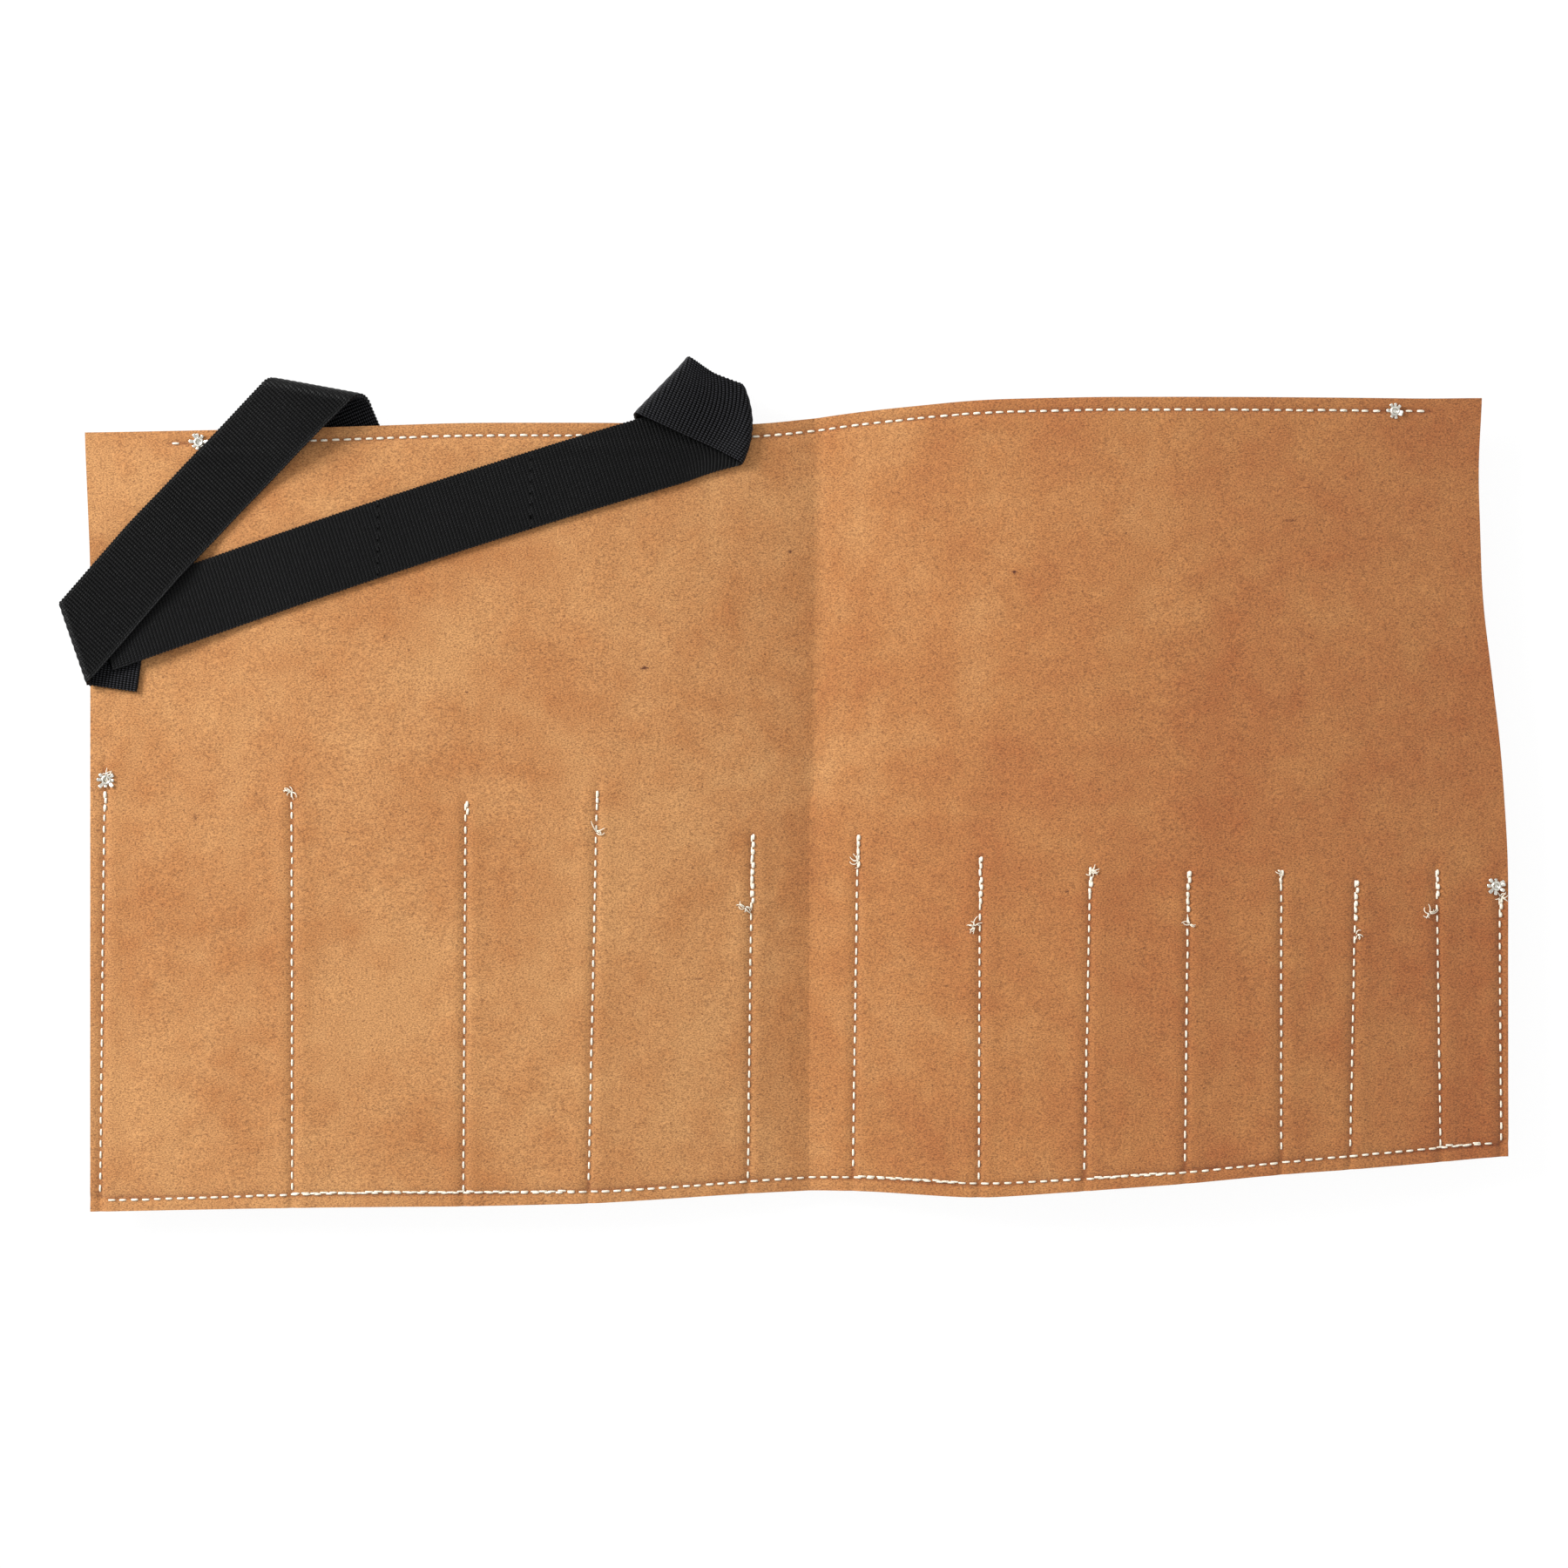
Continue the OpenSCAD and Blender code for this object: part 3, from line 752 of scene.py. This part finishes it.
def all_stitches():
    """Every stitch of the case as starts, ends and radii: cross seams, bottom seam, top seam."""
    starts, ends, radii = [], [], []

    def add(path, pitch, share=0.72, radius=THREAD_R, wobble=0.05 * MM):
        a, b = seam_stitches(np.asarray(path), pitch, share, wobble)
        starts.append(a)
        ends.append(b)
        radii.append(np.full(len(a), radius) * rng.uniform(0.9, 1.1, len(a)))

    first_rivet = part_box("rivet_flap_outer")[1].x
    last_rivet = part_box("rivet_flap_inner")[0].x
    for i in range(SECTIONS + 1):
        head = SEAM_HEAD[i]
        if i == 0:
            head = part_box("rivet_pocket_outer")[0].y - 0.5 * MM
        if i == SECTIONS:
            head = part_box("rivet_pocket_inner")[0].y - 0.5 * MM
        y = np.linspace(head, np.interp(seam_x[i], seam_x, bottom_y) + EDGE_SEAM - 0.3 * MM, 20)
        path = np.stack([seam_place(i, y), y], -1)
        add(path, 3.8 * MM, 0.72, THREAD_R * 0.8)
        # The seam's head is sewn over twice, so its thread is thicker there
        back_tack = path[y > head - BACK_TACK[i]]
        if len(back_tack) > 1:
            add(back_tack + [0.25 * MM, 0], 2.4 * MM, 0.95, THREAD_R * 1.2, 0.22 * MM)
    x = np.linspace(seam_x[0] + 0.5 * MM, seam_x[-1], 240)
    bottom = np.stack([x, edge_line(x, bottom_y, EDGE_SEAM) + 0.5 * MM * np.sin(x * 35)], -1)
    add(bottom, 3.9 * MM, 0.74, THREAD_R * 0.85)
    # Stretches of the bottom seam that were sewn over twice, where the thread runs on without a gap
    for a, b in ((1, 3), (5, 6), (7, 8), (11, 12)):
        twice = bottom[(x > seam_x[a]) & (x < seam_x[b] - 4 * MM)]
        add(twice + [0, 0.3 * MM], 3.1 * MM, 1.0, THREAD_R * 0.8, 0.12 * MM)
    for start, stop in (
        (first_rivet + 0.4 * MM, last_rivet - 0.4 * MM),
        (first_rivet - 13.0 * MM, first_rivet - 6.6 * MM), (last_rivet + 6.6 * MM, last_rivet + 16 * MM),
    ):
        x = np.linspace(start, stop, 240)
        add(np.stack([x, edge_line(x, top_y, -EDGE_SEAM)], -1), 3.75 * MM, 0.74, THREAD_R * 0.9)
    return np.concatenate(starts), np.concatenate(ends), np.concatenate(radii)


def tuft(x, y, count, size, seed):
    """Loose ends of thread: short curved tubes that fan out from one place, lying on the leather."""
    r = np.random.default_rng(seed)
    s = np.linspace(0, 1, 9)
    points, faces = [], []
    ring = np.arange(5)
    for n in range(count):
        heading = r.uniform(0, 2 * np.pi)
        curl = r.uniform(-2.6, 2.6)
        reach = size * r.uniform(0.5, 1.0)
        direction = heading + curl * s
        cx = x + np.cumsum(np.cos(direction)) * reach / 9
        cy = y + np.cumsum(np.sin(direction)) * reach / 9
        cz = back_height(cx, cy) + (0.35 + 0.5 * np.sin(s * np.pi) * r.uniform(0.3, 1)) * MM
        radius = 0.22 * MM * (1 - 0.5 * s)
        a = ring * 2 * np.pi / 5
        nx, ny = -np.sin(direction), np.cos(direction)
        px = cx[:, None] + radius[:, None] * np.cos(a) * nx[:, None]
        py = cy[:, None] + radius[:, None] * np.cos(a) * ny[:, None]
        pz = cz[:, None] + radius[:, None] * np.sin(a)
        base = len(s) * 5 * n
        points.append(np.stack([px, py, pz], -1).reshape(-1, 3))
        for k in range(len(s) - 1):
            b = base + k * 5
            faces.append(np.stack(
                [b + ring, b + (ring + 1) % 5, b + 5 + (ring + 1) % 5, b + 5 + ring], -1
            )[:, ::-1])
    return np.concatenate(points), np.concatenate(faces)


# Loose ends: seam, offset from the seam's head along and across the roll, number of ends, length (mm)
TUFTS = [
    (1, 0, -1.5, 9, 3.4), (3, -0.3, -14, 5, 4.0), (4, -2.4, -25, 9, 3.4), (5, 0, -9, 6, 4.0),
    (6, -2.0, -24, 10, 4.2), (7, 0.3, -1.5, 9, 3.0), (8, 0.6, -18, 6, 3.4), (9, 0, -1, 5, 2.6),
    (10, 0.4, -19, 6, 3.2), (11, -2.6, -15, 9, 4.0), (0, 0.6, -3, 7, 3.4), (12, 0.3, -6, 7, 3.0),
]


def make_stitching():
    """Stitches and loose ends, cut into pieces like the back."""
    starts, ends, radii = all_stitches()
    bounds = np.concatenate([[-1], middle_x[1:-1], [1]])
    for k in range(1, SECTIONS):
        mid = (starts[:, 0] + ends[:, 0]) / 2
        mine = (mid >= bounds[k - 1]) & (mid < bounds[k])
        points, faces = stitches_mesh(starts[mine], ends[mine], radii[mine])
        meshes = [(points, faces)]
        for seam, dx, dy, count, size in TUFTS:
            x, y = seam_x[seam] + dx * MM, SEAM_HEAD[seam] + dy * MM
            if bounds[k - 1] <= x < bounds[k]:
                meshes.append(tuft(x, y, count, size * MM, seam * 10 + count))
        total = np.cumsum([0] + [len(p) for p, _ in meshes])
        points = np.concatenate([p for p, _ in meshes])
        faces = np.concatenate([f + base for (_, f), base in zip(meshes, total)])
        obj = make_object("stitching_" + two(k), points, faces, [thread])
        blend_sheet(obj)
        names = ["stitches_" + two(k)] + (["stitches_12"] if k == SECTIONS - 1 else [])
        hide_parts(*names)


# ---------------------------------------------------------------- rivets

def make_rivet(name, body, seed):
    """A tubular rivet seen from its split end: the tube's wall is split into petals that curl down
    onto the leather round an open middle. Radius and height follow an arc; each petal narrows to its tip."""
    r = np.random.default_rng(seed)
    low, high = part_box(name)
    cx, cy = (low.x + high.x) / 2, (low.y + high.y) / 2
    outer = (high.x - low.x) / 2
    base = float(back_height(np.array([cx]), np.array([cy]))[0])
    petals = 8
    u = np.linspace(0, 1, 9)
    v = np.linspace(-1, 1, 7)
    points, faces = [], []
    for n in range(petals):
        a = 2 * np.pi * (n + r.uniform(-0.3, 0.3)) / petals
        reach = outer * r.uniform(0.72, 1.06)
        angle = u * np.pi * 0.62
        radial = 1.1 * MM + (reach - 1.1 * MM) * np.sin(angle) / np.sin(np.pi * 0.5)
        height = 0.1 * MM + 1.0 * MM * np.sin(u * np.pi * 0.8) * r.uniform(0.85, 1.1)
        half = (0.40 * (1 - u ** 2.2) + 0.07)[:, None] * (1.3 * np.pi / petals) * v[None, :] + a
        px, py = cx + radial[:, None] * np.cos(half), cy + radial[:, None] * np.sin(half)
        pz = base + height[:, None] + 0.12 * MM * (1 - v[None, :] ** 2)
        points.append(np.stack([px, py, pz], -1).reshape(-1, 3))
        faces.append(grid_faces(len(u), len(v), n * len(u) * len(v)))
    # The open tube in the middle: a wall that turns in to a sunken floor
    ring = np.linspace(0, 2 * np.pi, 25)
    profile_r = np.array([1.75, 1.5, 1.15, 0.95, 0.85, 0.5, 0.01]) * MM
    profile_z = np.array([0.15, 0.75, 0.95, 0.6, 0.1, 0.05, 0.05]) * MM
    px = cx + profile_r[:, None] * np.cos(ring)
    py = cy + profile_r[:, None] * np.sin(ring)
    pz = base + np.repeat(profile_z[:, None], len(ring), 1)
    start = petals * len(u) * len(v)
    points.append(np.stack([px, py, pz], -1).reshape(-1, 3))
    faces.append(grid_faces(len(profile_r), len(ring), start))
    # The flat head on the other side
    head_r = np.array([0.01, 2.0, 2.35, 2.4, 2.35, 0.01]) * MM
    under = low.z
    head_z = np.array([0, 0, 0.08, 0.3, 0.5, 0.5]) * MM
    px = cx + head_r[:, None] * np.cos(ring)
    py = cy + head_r[:, None] * np.sin(ring)
    pz = under + np.repeat(head_z[:, None], len(ring), 1)
    points.append(np.stack([px, py, pz], -1).reshape(-1, 3))
    faces.append(grid_faces(len(head_r), len(ring), start + len(profile_r) * len(ring)))
    obj = make_object(name + "_metal", np.concatenate(points), np.concatenate(faces), [nickel])
    thicken(obj, 0.25 * MM, 0, 0)
    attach(obj, body)
    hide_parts(name)


# ---------------------------------------------------------------- webbing ties

RIB_PITCH = 1.2 * MM
RIB_DEEP = 0.19 * MM


def unit(v):
    """A direction of length 1."""
    v = np.asarray(v, float)
    return v / np.linalg.norm(v)


def level(height):
    """The same height all along the strip."""
    return lambda s: np.full_like(s, height)


def folded_strip(middle, heading, s0, s1, base_height, folds, bow):
    """A flat strip of webbing laid through middle along heading, then turned over about fold lines.

    Each fold is (point on the line, direction square to the line and out past it, radius, height after it,
    number of the fold that it comes after, or 0). A point at distance d past the line moves to radius times
    the sine of d over radius, and past half a turn it comes back by the rest of d. Heights are functions of
    the place along the strip.
    """
    s = np.arange(s0, s1, RIB_PITCH / 4)
    t = np.linspace(-TIE_W / 2, TIE_W / 2, 35)
    s, t = np.meshgrid(s, t, indexing="ij")
    d = unit(heading)
    n = np.array([-d[1], d[0]])
    x = middle[0] + s * d[0] + (t + bow(s)) * n[0]
    y = middle[1] + s * d[1] + (t + bow(s)) * n[1]
    h = base_height(s)
    turned = [np.ones_like(s)]
    for point, outwards, radius, height, after in folds:
        out = unit(outwards)
        dist = (x - point[0]) * out[0] + (y - point[1]) * out[1]
        active = (turned[after] > 0.999) & (dist > 0)
        arc = np.pi * radius
        on = active & (dist < arc)
        past = active & (dist >= arc)
        moved = np.where(
            on, radius * np.sin(np.minimum(dist, arc) / radius), np.where(past, arc - dist, dist)
        )
        x = x + (moved - dist) * out[0]
        y = y + (moved - dist) * out[1]
        turn = np.where(on, (1 - np.cos(np.minimum(dist, arc) / radius)) / 2, np.where(past, 1.0, 0.0))
        h = h * (1 - turn) + height(s) * turn
        turned.append(turn)
    return s, t, x, y, h


def ribbed(s, t, x, y, z):
    """Raises the weft ribs along the surface's normal and lets the selvedges bulge out with each rib."""
    p = np.stack([x, y, z], -1)
    du = np.gradient(p, axis=0)
    dv = np.gradient(p, axis=1)
    n = np.cross(du, dv)
    n = n / np.linalg.norm(n, axis=-1, keepdims=True)
    wave = np.cos(2 * np.pi * s / RIB_PITCH)
    across = dv / np.linalg.norm(dv, axis=-1, keepdims=True)
    edge = np.clip((np.abs(t) - TIE_W / 2 + 1.2 * MM) / (1.2 * MM), 0, 1)
    p = p + n * (RIB_DEEP * wave * (1 - 0.5 * edge))[..., None]
    return p + across * (np.sign(t) * edge * wave * 0.2 * MM)[..., None]


def make_tie(name, strip, pieces, replaced):
    """Lays a folded strip on the back and cuts it, by its faces' places, at the middle of the sections."""
    s, t, x, y, h = strip
    z = back_height(np.clip(x, left_x, right_x), np.clip(y, -1, np.interp(x, seam_x, top_y) - 6 * MM)) + h
    points = ribbed(s, t, x, y, z)
    rows_n, cols_n = s.shape
    faces = grid_faces(rows_n, cols_n)
    flat_points = points.reshape(-1, 3)
    uv = np.stack([s.ravel(), t.ravel()], -1)
    centre = flat_points[faces].mean(1)[:, 0]
    for number, (k, x0, x1) in enumerate(pieces, 1):
        chosen = faces[(centre >= x0) & (centre < x1)]
        used, index = np.unique(chosen, return_inverse=True)
        piece_name = name if len(pieces) == 1 else f"{name}_{number}"
        obj = make_object(piece_name, flat_points[used], index.reshape(-1, 4), [webbing, webbing], uv[used])
        thicken(obj, TIE_T, 0, 0)
        blend_sheet(obj)
        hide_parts(*replaced[number - 1])


def make_ties():
    """Both ties, laid on the back.

    Tie A: root under the back, over the top edge, down to the outer end, folded under to its cut end.
    Tie B: root under the back, over the top edge, folded at its right and laid back to the outer end.
    """
    top_of_a = (-158.8 * MM, 135.4 * MM)
    end_of_a = (-241.0 * MM, 50.0 * MM)
    mid_a = ((top_of_a[0] + end_of_a[0]) / 2, (top_of_a[1] + end_of_a[1]) / 2)
    heading_a = (top_of_a[0] - end_of_a[0], top_of_a[1] - end_of_a[1])

    def height_a(s):
        over_b = 1 - ease(-22 * MM, 2 * MM)(s)
        rising = ease(18 * MM, 60 * MM)(s)
        return 0.9 * MM + 3.1 * MM * over_b + 6.0 * MM * rising

    def bow_a(s):
        arch = np.sin(np.clip(s / (62 * MM), -1, 1) * np.pi / 2 + np.pi / 2)
        return 1.6 * MM * arch - 1.2 * MM * ease(20 * MM, -62 * MM)(s)

    strip_a = folded_strip(
        mid_a, heading_a, -84 * MM, 92 * MM, height_a,
        [
            ((-160.2 * MM, 132.4 * MM), (0.18, 0.98), 3.2 * MM, level(-3.0 * MM), 0),
            ((-239.6 * MM, 50.0 * MM), (-0.946, -0.325), 1.3 * MM, level(1.0 * MM), 0),
        ],
        bow_a,
    )
    make_tie("tie_a_webbing", strip_a, [(1, -1, 1)], [["tie_a_01", "tie_a_02"]])

    mid_b = (-116.5 * MM, 89.0 * MM)

    def height_b(s):
        under_a = 1 - ease(-112 * MM, -70 * MM)(s)
        return 0.85 * MM + 1.7 * MM * under_a

    def over_fold_b(s):
        return 2.9 * MM + 3.6 * MM * ease(115 * MM, 140 * MM)(s)

    def bow_b(s):
        return 1.9 * MM * np.sin(np.clip((s + 115 * MM) / (225 * MM), 0, 1) * np.pi)

    strip_b = folded_strip(
        mid_b, (0.951, 0.309), -121 * MM, 168 * MM, height_b,
        [
            ((-15.0 * MM, 122.0 * MM), (1.0, -0.05), 2.0 * MM, over_fold_b, 0),
            ((-41.5 * MM, 132.5 * MM), (-0.72, 0.69), 2.2 * MM, level(-3.0 * MM), 1),
        ],
        bow_b,
    )
    s, t, x, y, h = strip_b
    # The soft fold at the right bellies out in the middle and draws in at both ends
    up = (y - 110 * MM) / (27 * MM)
    belly = 1.4 * MM - 4.0 * MM * np.clip(np.abs(up - 0.45) / 0.55, 0, 1.2) ** 2
    x = x + belly * ease(-36 * MM, -17 * MM)(x)
    strip_b = (s, t, x, y, h)
    cuts = [-1, middle_x[1], middle_x[2], 1]
    make_tie(
        "tie_b_webbing", strip_b, [(k, cuts[k - 1], cuts[k]) for k in (1, 2, 3)],
        [["tie_b_01"], ["tie_b_02"], ["tie_b_03", "tie_b_04"]],
    )


# ---------------------------------------------------------------- build

make_back()
make_pockets()
make_flap()
make_stitching()
make_rivet("rivet_flap_outer", "section_01", 1)
make_rivet("rivet_pocket_outer", "section_01", 2)
make_rivet("rivet_flap_inner", "section_11", 3)
make_rivet("rivet_pocket_inner", "section_12", 4)
make_ties()


# ---------------------------------------------------------------- floor, light and camera

def make_stage():
    """A backlit sheet of frosted acrylic to lie on, so pale and clear that it takes almost no shadow."""
    half = 3.0
    corners = np.array([[-half, -half, 0], [half, -half, 0], [half, half, 0], [-half, half, 0]], float)
    corners[:, 2] = -0.1 * MM
    m, tree, shader = new_material("frosted acrylic")
    tree.nodes.remove(shader)
    clear = node(tree, "ShaderNodeBsdfTransparent", {"Color": (1, 1, 1, 1)})
    frost = node(tree, "ShaderNodeBsdfDiffuse", {"Color": linear("#fbfbfa")})
    mixed = node(tree, "ShaderNodeMixShader", {0: 0.07}, {1: clear.outputs[0], 2: frost.outputs[0]})
    tree.links.new(mixed.outputs[0], tree.nodes["Material Output"].inputs[0])
    floor = make_object("floor", corners, np.array([[0, 1, 2, 3]]), [m])


def make_lights():
    """An even white surround, and one broad soft light from the upper left."""
    world = bpy.data.worlds.new("white studio")
    world.use_nodes = True
    world.node_tree.nodes["Background"].inputs[0].default_value = (1, 1, 1, 1)
    world.node_tree.nodes["Background"].inputs[1].default_value = 1.0
    bpy.context.scene.world = world
    bpy.context.scene.view_settings.view_transform = "Standard"
    lamp = bpy.data.lights.new("broad soft light", "AREA")
    lamp.shape = "DISK"
    lamp.size = 0.8
    lamp.energy = 62
    light = bpy.data.objects.new("broad soft light", lamp)
    light.location = (-1.5, 0.85, 0.95)
    bpy.context.scene.collection.objects.link(light)
    light.rotation_euler = (-Vector(light.location)).to_track_quat("-Z", "Y").to_euler()


def make_camera():
    """Straight above the case, 1.1 m over its back; the frame is 532 mm wide there."""
    distance = 1.1
    seen = 0.5323
    cam = bpy.data.cameras.new("camera")
    cam.sensor_width = 36
    cam.lens = 36 * distance / seen
    obj = bpy.data.objects.new("camera", cam)
    obj.location = (-0.0003, 0.0012, distance + 0.011)
    bpy.context.scene.collection.objects.link(obj)
    bpy.context.scene.camera = obj


make_stage()
make_lights()
make_camera()
